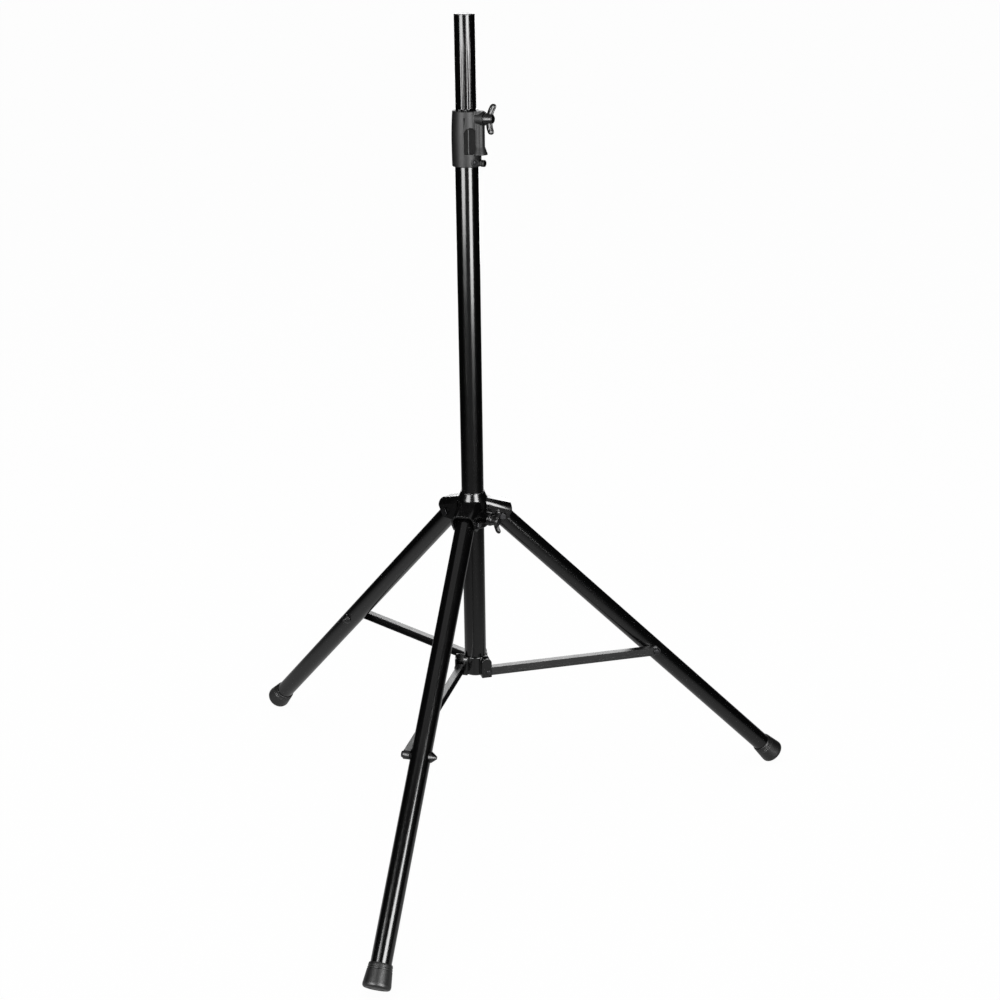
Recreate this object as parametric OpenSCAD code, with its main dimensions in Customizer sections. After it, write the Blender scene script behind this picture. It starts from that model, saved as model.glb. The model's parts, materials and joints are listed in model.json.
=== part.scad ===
// Speaker tripod stand: a telescopic pole on three folding legs.
// Origin: on the floor, on the column's axis. +Z is up, the front leg points along -Y. Millimetres.

/* [Column] */
// Outside diameter of the fixed lower tube
main_d = 40; // [38:0.5:42]
// Wall of the fixed lower tube
main_wall = 1.7; // [1.5:0.1:2]
// Outside diameter of the sliding pole, the size that fits a speaker's socket
pole_d = 35; // [34.5:0.1:35]
// Wall of the sliding pole
pole_wall = 1.6; // [1.2:0.1:2]
// Height of the pole's top above the floor, as set here
pole_top_z = 1470; // [1420:10:1560]
// Length of the sliding pole
pole_len = 1000; // [900:50:1000]

/* [Legs] */
// Outside diameter of the leg tubes
leg_d = 35; // [33:0.5:35]
// Wall of the leg tubes
leg_wall = 1.8; // [1.5:0.1:2]
// Angle of an opened leg from the vertical
leg_angle = 44.4; // [42:0.2:46]
// Distance from the column's axis to the centre of a leg's lower end
foot_reach = 619.6; // [600:5:640]
// Distance from the column's axis to the leg pivots on the hub
hub_pivot_r = 50; // [50:1:54]
// Radius of a rubber foot at its widest
foot_r = 23.5; // [22:0.5:24]

/* [Braces] */
// Height of the brace pivots on the foot bracket
brace_pivot_z = 292.3; // [290:0.5:296]
// Distance from the column's axis to the brace pivots, along the leg's direction
brace_pivot_r = 17; // [17:0.5:18]
// Distance from the column's axis to the joint between a brace and its leg
brace_joint_r = 350.5; // [330:5:370]
// Height of a brace's channel section
brace_h = 16; // [14:1:16]
// Width of a brace's channel section
brace_w = 12; // [10:0.5:12]

/* [Height collar] */
// Height of the collar's bottom edge above the floor
collar_z = 1223; // [1200:1:1240]
// Height of the collar
collar_h = 92; // [90:1:96]
// Greatest radius of the collar
collar_r = 25.2; // [25:0.1:27]
// Direction of the collar's wing knob and lock pin, from +X
collar_knob_az = -15; // [-20:1:-10]

/* [Hub] */
// Direction of the hub's wing knob, midway between two legs
hub_knob_az = -30; // [-34:1:-26]

/* [Wing knobs] */
// Reach of a wing of the collar's knob from the knob's axis
collar_wing_reach = 25; // [21:0.5:26]
// Reach of a wing of the hub's knob from the knob's axis
hub_wing_reach = 22; // [20:0.5:25]
// Thickness of a wing
wing_t = 6.5; // [5:0.5:8]

/* [Hidden] */

$fn = 96;

// Directions of the legs
AZ_RIGHT = 30;
AZ_LEFT = 150;
AZ_FRONT = 270;
LEG_AZ = [AZ_RIGHT, AZ_LEFT, AZ_FRONT];

// Cut clearance that makes a tool run past a surface
over = 1;
// Radial clearance of a running fit
run_gap = 0.06;

// Radii of the tubes
main_r = main_d / 2;
main_bore_r = main_r - main_wall;
pole_r = pole_d / 2;
pole_bore_r = pole_r - pole_wall;
leg_r = leg_d / 2;
leg_bore_r = leg_r - leg_wall;

// Leg line: the foot's rim rests on the floor, with a small flat worn on it
foot_rim_r = 5;
foot_flat = 1;
foot_len = 40;
foot_end_t = 6;
foot_neck_r = leg_r + 2.2;
leg_end_z = (foot_r - foot_rim_r) * sin(leg_angle) + foot_rim_r * (1 - cos(leg_angle)) - foot_flat;
hub_pivot_z = leg_end_z + (foot_reach - hub_pivot_r) / tan(leg_angle);
leg_len = (foot_reach - hub_pivot_r) / sin(leg_angle);
leg_top_over = 6;
pivot_bolt_r = 4;

// Brace line: the brace runs beside its leg, on the clockwise side
brace_joint_z = leg_end_z + (foot_reach - brace_joint_r) / tan(leg_angle);
brace_gap = 0.9;
brace_y = leg_r + brace_gap + brace_w / 2;
brace_run = brace_joint_r - brace_pivot_r;
brace_rise = brace_joint_z - brace_pivot_z;
brace_len = sqrt(brace_run * brace_run + brace_rise * brace_rise);
brace_tilt = atan2(brace_rise, brace_run);
brace_wall = 1.6;
joint_along_leg = (brace_joint_r - hub_pivot_r) / sin(leg_angle);
joint_bolt_r = 3;
rivet_r = 3;
rivet_start_y = 15;

// Foot bracket: a cup on the lower tube's end with three offset forks
cup_wall = 2.5;
cup_r = main_r + cup_wall;
cup_bottom_z = brace_pivot_z - brace_h / 2 - 2.3;
cup_floor_t = 3.5;
cup_top_z = cup_bottom_z + 38;
fork_x0 = 3.5;
fork_width = 19;
fork_back_x = fork_x0 + 5.1;
fork_slot_y0 = leg_r + 0.3;
fork_slot_y1 = brace_y + brace_w / 2 + 0.7;
fork_ear_t = 3;
fork_floor_t = 1.4;
fork_inner_y = cup_r * 0.45;

// Column heights
main_bottom_z = cup_bottom_z + cup_floor_t;
collar_top_z = collar_z + collar_h;
main_top_z = collar_z + 45;
pole_bottom_z = pole_top_z - pole_len;
pole_cap_t = 2.5;

// Collar
collar_top_r = collar_r - 2;
collar_neck_t = 3;
collar_rib_x = 34.5;
collar_rib_w = 18;
collar_rib_z = collar_z + 20;
collar_knob_z = collar_top_z - 12.5;
collar_knob_turn = -12;
collar_boss_x = 36;
collar_insert_r = 6.5;
collar_insert_t = 9;
lock_pin_z = collar_z + 6;
lock_pin_r = 3;
lock_pin_travel = 3;
lock_stem_r = 5.1;
lock_stem_x = 28.2;
lock_head_x = lock_stem_x + 0.3;
lock_head_t = 6.8;
pole_hole_step = 50;
pole_hole_count = 14;
collar_screw_r = 2;
collar_screw_z = collar_z + 8;
collar_screw_az = -42;
collar_screw_x = collar_r + 0.6;
pocket_az = -59;
pocket_half = 10.5;

// Hub
hub_liner_r = main_r + 1.3;
hub_body_r = main_r + 7;
hub_top_z = hub_pivot_z + 48;
hub_bottom_z = hub_pivot_z - 19;
hub_knob_z = hub_pivot_z + 3;
hub_boss_x = 50;
hub_boss_r = 12;
arm_t = 3;
arm_y0 = leg_r + 1;
arm_y1 = arm_y0 + arm_t;
arm_slope = 17.5;
arm_corner_r = 12;
arm_crown_z = hub_pivot_z + 36.2;
arm_end_r = hub_pivot_r + 18;

// Wing knobs
stud_r = 4;
knob_gap = 0.8;
knob_hub_r = 8.5;
knob_hub_h = 14;
knob_bore_t = 11;

// --- Placing helpers ---

// Moves a shape drawn along +X to a direction around the column
module around(az) {
  rotate([0, 0, az]) children();
}

// Puts a shape's +Z along +X, at a height
module along_x(z) {
  translate([0, 0, z]) rotate([0, 90, 0]) children();
}

// Puts a shape's +Z along -Y, from a distance y beside the radial plane
module beside(x, y, z) {
  translate([x, -y, z]) rotate([90, 0, 0]) children();
}

// Leg frame: origin on the hub pivot, +Z down the leg, +Y across it
module leg_frame(az) {
  around(az) translate([hub_pivot_r, 0, hub_pivot_z]) rotate([0, 180 - leg_angle, 0]) children();
}

// Brace frame: origin on the bracket pivot, +X along the brace, its section centred on -Y
module brace_frame(az) {
  around(az) translate([brace_pivot_r, -brace_y, brace_pivot_z]) rotate([0, -brace_tilt, 0]) children();
}

module tube(outer_r, inner_r, h) {
  difference() {
    cylinder(r = outer_r, h = h);
    translate([0, 0, -over]) cylinder(r = inner_r, h = h + 2 * over);
  }
}

// --- Column ---

module main_tube() {
  color("#17181a") difference() {
    translate([0, 0, main_bottom_z]) tube(main_r, main_bore_r, main_top_z - main_bottom_z);
    around(collar_knob_az) along_x(lock_pin_z) cylinder(r = lock_pin_r + run_gap, h = main_d);
    for (side = [0, 180]) {
      around(collar_screw_az + side) along_x(collar_screw_z) cylinder(r = collar_screw_r, h = main_d);
    }
  }
}

module tube_end_plug() {
  plug_h = 14;
  plug_wall = 3;
  color("#202022") translate([0, 0, main_bottom_z]) difference() {
    cylinder(r = main_bore_r, h = plug_h);
    translate([0, 0, plug_wall]) cylinder(r = main_bore_r - plug_wall, h = plug_h);
  }
}

// One fork seen along -Y: a tall ear with a round top
module fork_profile() {
  round_r = fork_width / 2;
  translate([fork_x0, cup_bottom_z]) square([fork_width, cup_top_z - cup_bottom_z - round_r]);
  translate([fork_x0 + round_r, cup_top_z - round_r]) circle(r = round_r);
}

module fork_block() {
  beside(0, fork_inner_y, 0) linear_extrude(fork_slot_y1 + fork_ear_t - fork_inner_y) fork_profile();
}

module fork_slot() {
  translate([fork_back_x, -fork_slot_y1, cup_bottom_z + fork_floor_t])
    cube([fork_width * 2, fork_slot_y1 - fork_slot_y0, cup_top_z - cup_bottom_z]);
}

module brace_bracket() {
  edge_r = 4.5;
  lip = 1.5;
  side_h = cup_top_z - cup_bottom_z - edge_r - lip;
  color("#1c1c1e") difference() {
    union() {
      translate([0, 0, cup_bottom_z + edge_r]) cylinder(r = cup_r, h = side_h);
      translate([0, 0, cup_top_z - lip]) cylinder(r1 = cup_r, r2 = cup_r - lip, h = lip);
      translate([0, 0, cup_bottom_z]) cylinder(r = cup_r - edge_r, h = edge_r);
      translate([0, 0, cup_bottom_z + edge_r]) rotate_extrude() intersection() {
        translate([cup_r - edge_r, 0]) circle(r = edge_r, $fn = 48);
        translate([0, -edge_r]) square([cup_r, edge_r]);
      }
      for (az = LEG_AZ) around(az) fork_block();
    }
    translate([0, 0, main_bottom_z]) cylinder(r = main_r, h = cup_top_z);
    for (az = LEG_AZ) around(az) {
      fork_slot();
      beside(brace_pivot_r, rivet_start_y, brace_pivot_z) cylinder(r = rivet_r, h = fork_slot_y1);
    }
  }
}

// Each rivet crosses its fork and carries one brace
module bracket_rivets() {
  ear_y = fork_slot_y1 + fork_ear_t;
  color("#8c8c8e") for (az = LEG_AZ) around(az) {
    beside(brace_pivot_r, rivet_start_y, brace_pivot_z) cylinder(r = rivet_r, h = ear_y - rivet_start_y);
    beside(brace_pivot_r, ear_y, brace_pivot_z) cylinder(r1 = 5.2, r2 = 4, h = 1.8);
  }
}

// --- Height collar ---

// Outline of the collar's outside: bowed, and drawn in more towards the top than the bottom
function bow(t) = pow((t - 0.45) / 0.55, 2) * (t > 0.45 ? 1 : 0.35);
function collar_outline(steps) = [
  for (i = [0 : steps]) let (t = i / steps)
    [collar_r - (collar_r - collar_top_r) * bow(t), collar_z + 1 + t * (collar_h - 2)]
];

module collar_shell() {
  rotate_extrude() polygon(concat(
    [[0, collar_top_z], [0, collar_z], [collar_r - 1.6, collar_z]],
    collar_outline(14),
    [[collar_top_r - 1, collar_top_z]]
  ));
}

// Vertical rib on the collar's side: a round nose that flares out into a foot
module collar_rib() {
  nose_r = collar_rib_w / 2;
  foot_r = nose_r + 4.4;
  foot_t = 1.5;
  flare_h = 12;
  nose_x = collar_rib_x - nose_r;
  rib_h = collar_top_z - collar_rib_z;
  translate([0, -nose_r, collar_rib_z]) cube([nose_x, collar_rib_w, rib_h]);
  translate([nose_x, 0, collar_rib_z]) {
    cylinder(r = nose_r, h = rib_h);
    cylinder(r = foot_r, h = foot_t);
    translate([0, 0, foot_t]) cylinder(r1 = foot_r, r2 = nose_r, h = flare_h);
  }
}

// Shallow arched pocket moulded in the collar's face
module collar_pocket() {
  floor_x = 22;
  depth = 10;
  straight_h = 32.5;
  translate([floor_x, -pocket_half, collar_rib_z + 2]) cube([depth, 2 * pocket_half, straight_h]);
  translate([floor_x, 0, 0]) along_x(collar_rib_z + 2 + straight_h) cylinder(r = pocket_half, h = depth);
}

// Stiffening rib that stands in the pocket
module pocket_rib() {
  rib_h = 42;
  translate([21, -4, collar_rib_z + 1]) cube([3, 2.2, rib_h]);
}

module height_collar() {
  screw_boss_r = 6.5;
  knob_boss_r = 11.5;
  reach = 3 * collar_r;
  color("#3a3a3c") difference() {
    union() {
      difference() {
        collar_shell();
        around(pocket_az) collar_pocket();
      }
      around(pocket_az) pocket_rib();
      around(collar_knob_az) {
        collar_rib();
        along_x(collar_knob_z) cylinder(r = knob_boss_r, h = collar_boss_x);
        along_x(lock_pin_z) cylinder(r = lock_stem_r, h = lock_stem_x);
      }
      for (side = [0, 180]) around(collar_screw_az + side) {
        along_x(collar_screw_z) cylinder(r = screw_boss_r, h = collar_screw_x);
      }
    }
    translate([0, 0, collar_z - over]) cylinder(r = main_r, h = collar_h + over - collar_neck_t);
    translate([0, 0, collar_z]) cylinder(r = pole_r + 0.6, h = collar_h + over);
    around(collar_knob_az) {
      along_x(collar_knob_z) cylinder(r = stud_r + run_gap, h = reach);
      translate([collar_boss_x - collar_insert_t, 0, 0])
        along_x(collar_knob_z) cylinder(r = collar_insert_r, h = reach);
      along_x(lock_pin_z) cylinder(r = lock_pin_r + run_gap, h = reach);
    }
    for (side = [0, 180]) {
      around(collar_screw_az + side) along_x(collar_screw_z) cylinder(r = collar_screw_r, h = reach);
    }
  }
}

module collar_bushing() {
  color("#d8d8d4") difference() {
    translate([0, 0, main_top_z]) tube(main_r, pole_r + 0.08, collar_top_z - collar_neck_t - main_top_z);
    around(collar_knob_az) along_x(collar_knob_z) cylinder(r = stud_r + run_gap, h = main_d);
  }
}

// Two screws hold the collar on the lower tube
module collar_screws() {
  tip_x = main_bore_r + 0.1;
  head_t = 2.2;
  color("#6e6e70") for (side = [0, 180]) around(collar_screw_az + side) {
    translate([tip_x, 0, 0]) along_x(collar_screw_z) cylinder(r = collar_screw_r, h = collar_screw_x - tip_x);
    translate([collar_screw_x, 0, 0]) along_x(collar_screw_z) difference() {
      cylinder(r1 = 4.6, r2 = 3.9, h = head_t);
      translate([0, 0, 0.8]) cylinder(r = 2.3, h = head_t, $fn = 6);
    }
  }
}

module collar_insert() {
  color("#b08d4a") around(collar_knob_az) translate([collar_boss_x - collar_insert_t, 0, 0])
    along_x(collar_knob_z) tube(collar_insert_r, stud_r + run_gap, collar_insert_t);
}

module collar_pad() {
  color("#b08d4a") around(collar_knob_az) translate([pole_r + 0.2, 0, 0])
    along_x(collar_knob_z) cylinder(r = stud_r, h = 1.8);
}

// --- Sliding pole ---

module sliding_pole() {
  groove_z = collar_top_z + 2;
  color("#1b1c1e") difference() {
    translate([0, 0, pole_bottom_z]) tube(pole_r, pole_bore_r, pole_len - pole_cap_t);
    // Insertion mark: a fine groove that sits at the collar in this setting
    translate([0, 0, groove_z]) tube(pole_r + over, pole_r - 0.3, 1.5);
    for (i = [0 : pole_hole_count - 1]) {
      around(collar_knob_az) along_x(lock_pin_z - i * pole_hole_step)
        cylinder(r = lock_pin_r + 0.3, h = pole_d);
    }
  }
}

module pole_cap() {
  edge = 1;
  spigot_h = 20;
  color("#151516") translate([0, 0, pole_top_z - pole_cap_t]) {
    cylinder(r = pole_r, h = pole_cap_t - edge);
    translate([0, 0, pole_cap_t - edge]) cylinder(r1 = pole_r, r2 = pole_r - edge, h = edge);
    translate([0, 0, -spigot_h]) tube(pole_bore_r, pole_bore_r - 2, spigot_h);
  }
}

module pole_guide_bush() {
  flange_t = 8;
  hole_r = 8;
  color("#d8d8d4") translate([0, 0, pole_bottom_z]) {
    translate([0, 0, -flange_t]) tube(main_bore_r - 0.1, hole_r, flange_t);
    tube(pole_bore_r, pole_bore_r - 2.5, 22);
    translate([0, 0, -0.5]) tube(pole_bore_r, hole_r, 2);
  }
}

// --- Wing knobs and lock pin ---

// Wing knob along +Z, with its base at z = 0 and its wings along +X and -X
module wing_knob(reach) {
  root_r = 5.5;
  tip_r = 5.5;
  skirt_h = 4;
  top_r = knob_hub_r - 1.2;
  difference() {
    union() {
      cylinder(r1 = knob_hub_r + 1.5, r2 = knob_hub_r, h = skirt_h);
      translate([0, 0, skirt_h]) cylinder(r1 = knob_hub_r, r2 = top_r, h = knob_hub_h - skirt_h);
      translate([0, 0, knob_hub_h]) cylinder(r1 = top_r, r2 = 4, h = 2);
      for (side = [-1, 1]) hull() {
        translate([side * 6, 0, 8.5]) rotate([90, 0, 0])
          cylinder(r = root_r, h = wing_t, center = true, $fn = 32);
        translate([side * (reach - tip_r), 0, 14]) rotate([90, 0, 0])
          cylinder(r = tip_r, h = wing_t - 1.5, center = true, $fn = 32);
      }
    }
    translate([0, 0, -over]) cylinder(r = stud_r, h = knob_bore_t + over);
  }
}

module collar_wing_knob() {
  color("#161617") around(collar_knob_az) translate([collar_boss_x + knob_gap, 0, 0])
    along_x(collar_knob_z) rotate([0, 0, collar_knob_turn]) wing_knob(collar_wing_reach);
}

module collar_knob_stud() {
  tip_x = pole_r + 2.2;
  color("#77777a") around(collar_knob_az) translate([tip_x, 0, 0])
    along_x(collar_knob_z) cylinder(r = stud_r, h = collar_boss_x + knob_gap + knob_bore_t - tip_x);
}

module hub_wing_knob() {
  color("#161617") around(hub_knob_az) translate([hub_boss_x + knob_gap, 0, 0])
    along_x(hub_knob_z) wing_knob(hub_wing_reach);
}

module hub_knob_stud() {
  tip_x = main_r + 2;
  color("#77777a") around(hub_knob_az) translate([tip_x, 0, 0])
    along_x(hub_knob_z) cylinder(r = stud_r, h = hub_boss_x + knob_gap + knob_bore_t - tip_x);
}

// The pin is drawn out here, its tip just clear of the pole
module lock_pin() {
  tip_x = pole_r + 0.7;
  color("#8c8c8e") around(collar_knob_az) translate([tip_x, 0, 0])
    along_x(lock_pin_z) cylinder(r = lock_pin_r, h = lock_head_x + lock_head_t - 1.8 - tip_x);
}

// Cup-shaped head that slides over the collar's stem as the pin goes in
module lock_pin_head() {
  head_r = 5.9;
  cup_t = lock_pin_travel + 0.2;
  edge = 0.8;
  color("#161617") around(collar_knob_az) translate([lock_head_x, 0, 0]) along_x(lock_pin_z) difference() {
    union() {
      cylinder(r = head_r, h = lock_head_t - edge);
      translate([0, 0, lock_head_t - edge]) cylinder(r1 = head_r, r2 = head_r - edge, h = edge);
    }
    translate([0, 0, -over]) cylinder(r = lock_stem_r + run_gap, h = cup_t + over);
    cylinder(r = lock_pin_r, h = lock_head_t - 1.8);
  }
}

// --- Hub ---

module hub_knob_boss() {
  lip = 3;
  around(hub_knob_az) {
    along_x(hub_knob_z) cylinder(r = hub_boss_r, h = hub_boss_x - lip);
    translate([hub_boss_x - lip, 0, 0])
      along_x(hub_knob_z) cylinder(r1 = hub_boss_r, r2 = hub_boss_r - 2.5, h = lip);
  }
}

module hub_sleeve() {
  z1 = hub_top_z;
  color("#1c1c1e") difference() {
    union() {
      rotate_extrude() polygon([
        [0, hub_bottom_z], [hub_body_r - 1.5, hub_bottom_z], [hub_body_r, hub_bottom_z + 1.5],
        [hub_body_r, z1 - 16], [hub_body_r - 1.5, z1 - 11.5], [main_r + 2, z1 - 3],
        [main_r + 1.6, z1], [0, z1]
      ]);
      hub_knob_boss();
    }
    translate([0, 0, hub_bottom_z - over]) cylinder(r = hub_liner_r, h = hub_top_z);
    around(hub_knob_az) along_x(hub_knob_z) cylinder(r = stud_r + run_gap, h = 2 * hub_boss_x);
  }
}

module hub_bushing() {
  color("#2c2c2e") difference() {
    translate([0, 0, hub_bottom_z]) tube(hub_liner_r, main_r + 0.08, hub_top_z - hub_bottom_z);
    around(hub_knob_az) along_x(hub_knob_z) cylinder(r = stud_r + run_gap, h = hub_boss_x);
  }
}

module hub_pad() {
  color("#b08d4a") around(hub_knob_az) translate([main_r + 0.2, 0, 0])
    along_x(hub_knob_z) cylinder(r = stud_r, h = 1.6);
}

// Side cheek of a leg bracket, seen along -Y
module cheek_profile() {
  top_z = arm_crown_z + 5;
  bottom_z = hub_pivot_z - 11.5;
  polygon([
    [main_r, top_z], [arm_end_r, top_z], [arm_end_r, hub_pivot_z + 8],
    [hub_pivot_r + 11.5, hub_pivot_z - 4], [hub_pivot_r + 4, bottom_z], [main_r, bottom_z]
  ]);
}

// Section of the bracket's channel: flat-topped, with round shoulders, and open below
module channel_section(half_w, shoulder_r) {
  depth = 80;
  translate([-half_w, -depth]) square([2 * half_w, depth - shoulder_r]);
  translate([shoulder_r - half_w, -shoulder_r - over]) square([2 * (half_w - shoulder_r), shoulder_r + over]);
  for (side = [-1, 1]) translate([side * (half_w - shoulder_r), -shoulder_r]) circle(r = shoulder_r);
}

// Solid channel that slopes down and out from the sleeve, its top in line with the pivot at z
module channel_run(half_w, shoulder_r, z) {
  run = 140;
  translate([hub_pivot_r, 0, z]) rotate([0, arm_slope, 0]) translate([-run / 2, 0, 0])
    rotate([90, 0, 90]) linear_extrude(run) channel_section(half_w, shoulder_r);
}

// Downward-open channel, pressed round one leg's top
module leg_bracket(az) {
  crown_z = arm_crown_z - (hub_pivot_r - main_r) * tan(arm_slope);
  color("#1a1a1c") difference() {
    around(az) difference() {
      intersection() {
        beside(0, -arm_y1, 0) linear_extrude(2 * arm_y1) cheek_profile();
        channel_run(arm_y1, arm_corner_r, crown_z);
      }
      channel_run(arm_y0, arm_corner_r - arm_t, crown_z - arm_t / cos(arm_slope));
      beside(hub_pivot_r, -arm_y1 - over, hub_pivot_z) cylinder(r = pivot_bolt_r, h = 2 * (arm_y1 + over));
    }
    translate([0, 0, hub_bottom_z - over]) cylinder(r = hub_body_r, h = hub_top_z);
    around(hub_knob_az) along_x(hub_knob_z) cylinder(r = hub_boss_r, h = hub_boss_x);
  }
}

module leg_pivot_bolts() {
  color("#6e6e70") for (az = LEG_AZ) around(az) {
    beside(hub_pivot_r, -arm_y1, hub_pivot_z) cylinder(r = pivot_bolt_r, h = 2 * arm_y1);
    beside(hub_pivot_r, arm_y1, hub_pivot_z) cylinder(r1 = 7.5, r2 = 5.5, h = 3.6);
  }
}

module leg_pivot_nuts() {
  color("#6e6e70") for (az = LEG_AZ) around(az) {
    beside(hub_pivot_r, -arm_y1 - 4.5, hub_pivot_z) cylinder(r = 7.4, h = 4.5, $fn = 6);
  }
}

// --- Legs ---

module leg_tube(az) {
  color("#1f2022") difference() {
    leg_frame(az) translate([0, 0, -leg_top_over])
      tube(leg_r, leg_bore_r, leg_len + leg_top_over - foot_end_t);
    leg_frame(az) {
      rotate([90, 0, 0]) cylinder(r = pivot_bolt_r + run_gap, h = 2 * leg_d, center = true);
      translate([0, 0, joint_along_leg]) rotate([90, 0, 0])
        cylinder(r = joint_bolt_r, h = 2 * leg_d, center = true);
    }
  }
}

// Moulded plug in the leg's top, bored for the pivot bolt
module leg_plug(az) {
  flange_t = 3.5;
  edge = 1.2;
  color("#242426") leg_frame(az) difference() {
    union() {
      translate([0, 0, -leg_top_over]) cylinder(r = leg_bore_r, h = 30);
      translate([0, 0, -leg_top_over - flange_t + edge]) cylinder(r = leg_r, h = flange_t - edge);
      translate([0, 0, -leg_top_over - flange_t]) cylinder(r1 = leg_r - edge, r2 = leg_r, h = edge);
    }
    rotate([90, 0, 0]) cylinder(r = pivot_bolt_r + run_gap, h = 2 * leg_d, center = true);
  }
}

// Rubber cap that widens towards the floor
module foot(az) {
  rim_steps = 10;
  ground = 2 * (foot_reach + foot_r);
  rim = [for (i = [0 : rim_steps]) let (a = 90 * i / rim_steps)
    [foot_r - foot_rim_r + foot_rim_r * cos(a), leg_len - foot_rim_r + foot_rim_r * sin(a)]];
  color("#101011") difference() {
    leg_frame(az) difference() {
      rotate_extrude() polygon(concat(
        [[0, leg_len - foot_len], [foot_neck_r - 0.8, leg_len - foot_len],
         [foot_neck_r, leg_len - foot_len + 0.8], [foot_neck_r + 0.7, leg_len - foot_len + 14]],
        rim,
        [[0, leg_len]]
      ));
      translate([0, 0, leg_len - foot_len - over]) cylinder(r = leg_r, h = foot_len - foot_end_t + over);
    }
    translate([-ground / 2, -ground / 2, -foot_r]) cube([ground, ground, foot_r]);
  }
}

// Cap nut and shank held in the leg; the brace's bolt head stands opposite, across the gap
module leg_joint_nut(az) {
  nut_r = 9.5;
  color("#202124") leg_frame(az) {
    difference() {
      translate([0, leg_r - 3, joint_along_leg]) rotate([-90, 0, 0]) {
        cylinder(r = nut_r, h = 4.5);
        translate([0, 0, 4.5]) cylinder(r1 = nut_r, r2 = 2.5, h = 9);
      }
      cylinder(r = leg_r, h = leg_len);
    }
    translate([0, 0.2 - leg_r, joint_along_leg]) rotate([-90, 0, 0]) cylinder(r = joint_bolt_r, h = 2 * leg_r);
  }
}

// --- Braces ---

// Rounded bar seen along -Y, from the bracket pivot to the leg joint
module brace_profile(half_h) {
  translate([0, -half_h]) square([brace_len, 2 * half_h]);
  circle(r = half_h);
  translate([brace_len, 0]) circle(r = half_h);
}

// Pressed channel, open towards its leg, with a bead along its web
module brace(az) {
  bead_x0 = 24;
  bead_h = 5;
  bead_depth = 0.7;
  web_y = -brace_w / 2;
  color("#38383b") brace_frame(az) difference() {
    beside(0, -brace_w / 2, 0) linear_extrude(brace_w) brace_profile(brace_h / 2);
    beside(0, -brace_w / 2 - over, 0) linear_extrude(brace_w + over - brace_wall)
      brace_profile(brace_h / 2 - brace_wall);
    translate([bead_x0, web_y - over, -bead_h / 2]) cube([brace_len - 2 * bead_x0, over + bead_depth, bead_h]);
    beside(0, 0, 0) cylinder(r = rivet_r + run_gap, h = brace_w);
    beside(brace_len, 0, 0) cylinder(r = joint_bolt_r, h = brace_w);
  }
}

// Bolt head and shank carried by the brace at its leg joint
module brace_bolt(az) {
  color("#6e6e70") brace_frame(az) {
    beside(brace_len, -brace_w / 2, 0) cylinder(r = joint_bolt_r, h = brace_w);
    beside(brace_len, brace_w / 2, 0) cylinder(r1 = 6.5, r2 = 5.2, h = 3.6);
  }
}

main_tube();
tube_end_plug();
brace_bracket();
bracket_rivets();
height_collar();
collar_bushing();
collar_screws();
collar_insert();
collar_pad();
sliding_pole();
pole_cap();
pole_guide_bush();
collar_wing_knob();
collar_knob_stud();
lock_pin();
lock_pin_head();
hub_sleeve();
hub_bushing();
hub_pad();
leg_bracket(AZ_RIGHT);  // leg_bracket_right
leg_bracket(AZ_LEFT);  // leg_bracket_left
leg_bracket(AZ_FRONT);  // leg_bracket_front
leg_pivot_bolts();
leg_pivot_nuts();
hub_wing_knob();
hub_knob_stud();
leg_tube(AZ_RIGHT);  // leg_tube_right
leg_plug(AZ_RIGHT);  // leg_plug_right
foot(AZ_RIGHT);  // foot_right
leg_joint_nut(AZ_RIGHT);  // leg_joint_nut_right
leg_tube(AZ_LEFT);  // leg_tube_left
leg_plug(AZ_LEFT);  // leg_plug_left
foot(AZ_LEFT);  // foot_left
leg_joint_nut(AZ_LEFT);  // leg_joint_nut_left
leg_tube(AZ_FRONT);  // leg_tube_front
leg_plug(AZ_FRONT);  // leg_plug_front
foot(AZ_FRONT);  // foot_front
leg_joint_nut(AZ_FRONT);  // leg_joint_nut_front
brace(AZ_RIGHT);  // brace_right
brace_bolt(AZ_RIGHT);  // brace_bolt_right
brace(AZ_LEFT);  // brace_left
brace_bolt(AZ_LEFT);  // brace_bolt_left
brace(AZ_FRONT);  // brace_front
brace_bolt(AZ_FRONT);  // brace_bolt_front
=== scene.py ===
"""Looks of the speaker tripod stand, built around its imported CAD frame. Metres, +Z up, front leg along -Y."""
import json
import math
import bmesh
import bpy
from mathutils import Matrix, Quaternion, Vector


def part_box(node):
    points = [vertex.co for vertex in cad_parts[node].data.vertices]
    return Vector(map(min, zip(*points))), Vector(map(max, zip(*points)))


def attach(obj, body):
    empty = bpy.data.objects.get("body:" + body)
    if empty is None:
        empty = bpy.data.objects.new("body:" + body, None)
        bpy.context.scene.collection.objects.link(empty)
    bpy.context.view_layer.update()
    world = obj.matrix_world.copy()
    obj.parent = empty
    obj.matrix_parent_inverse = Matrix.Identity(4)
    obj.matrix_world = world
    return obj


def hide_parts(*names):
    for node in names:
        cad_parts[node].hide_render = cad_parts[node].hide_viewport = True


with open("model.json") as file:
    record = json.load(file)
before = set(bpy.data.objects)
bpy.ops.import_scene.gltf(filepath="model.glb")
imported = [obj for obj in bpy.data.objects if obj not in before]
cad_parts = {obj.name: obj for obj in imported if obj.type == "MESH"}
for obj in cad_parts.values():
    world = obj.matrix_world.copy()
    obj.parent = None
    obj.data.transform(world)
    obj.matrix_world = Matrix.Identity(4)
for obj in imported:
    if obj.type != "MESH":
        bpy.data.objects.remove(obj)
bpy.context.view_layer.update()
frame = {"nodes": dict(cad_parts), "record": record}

MM = 0.001
UP = Vector((0, 0, 1))
LEGS = ("right", "left", "front")
ROUND_STEPS = 96
JOINTS = {j["name"]: j for j in frame["record"]["behaviour"]["joints"]}


# --- Places, all taken from the frame ---

def mid(node):
    low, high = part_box(node)
    return (low + high) / 2


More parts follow.
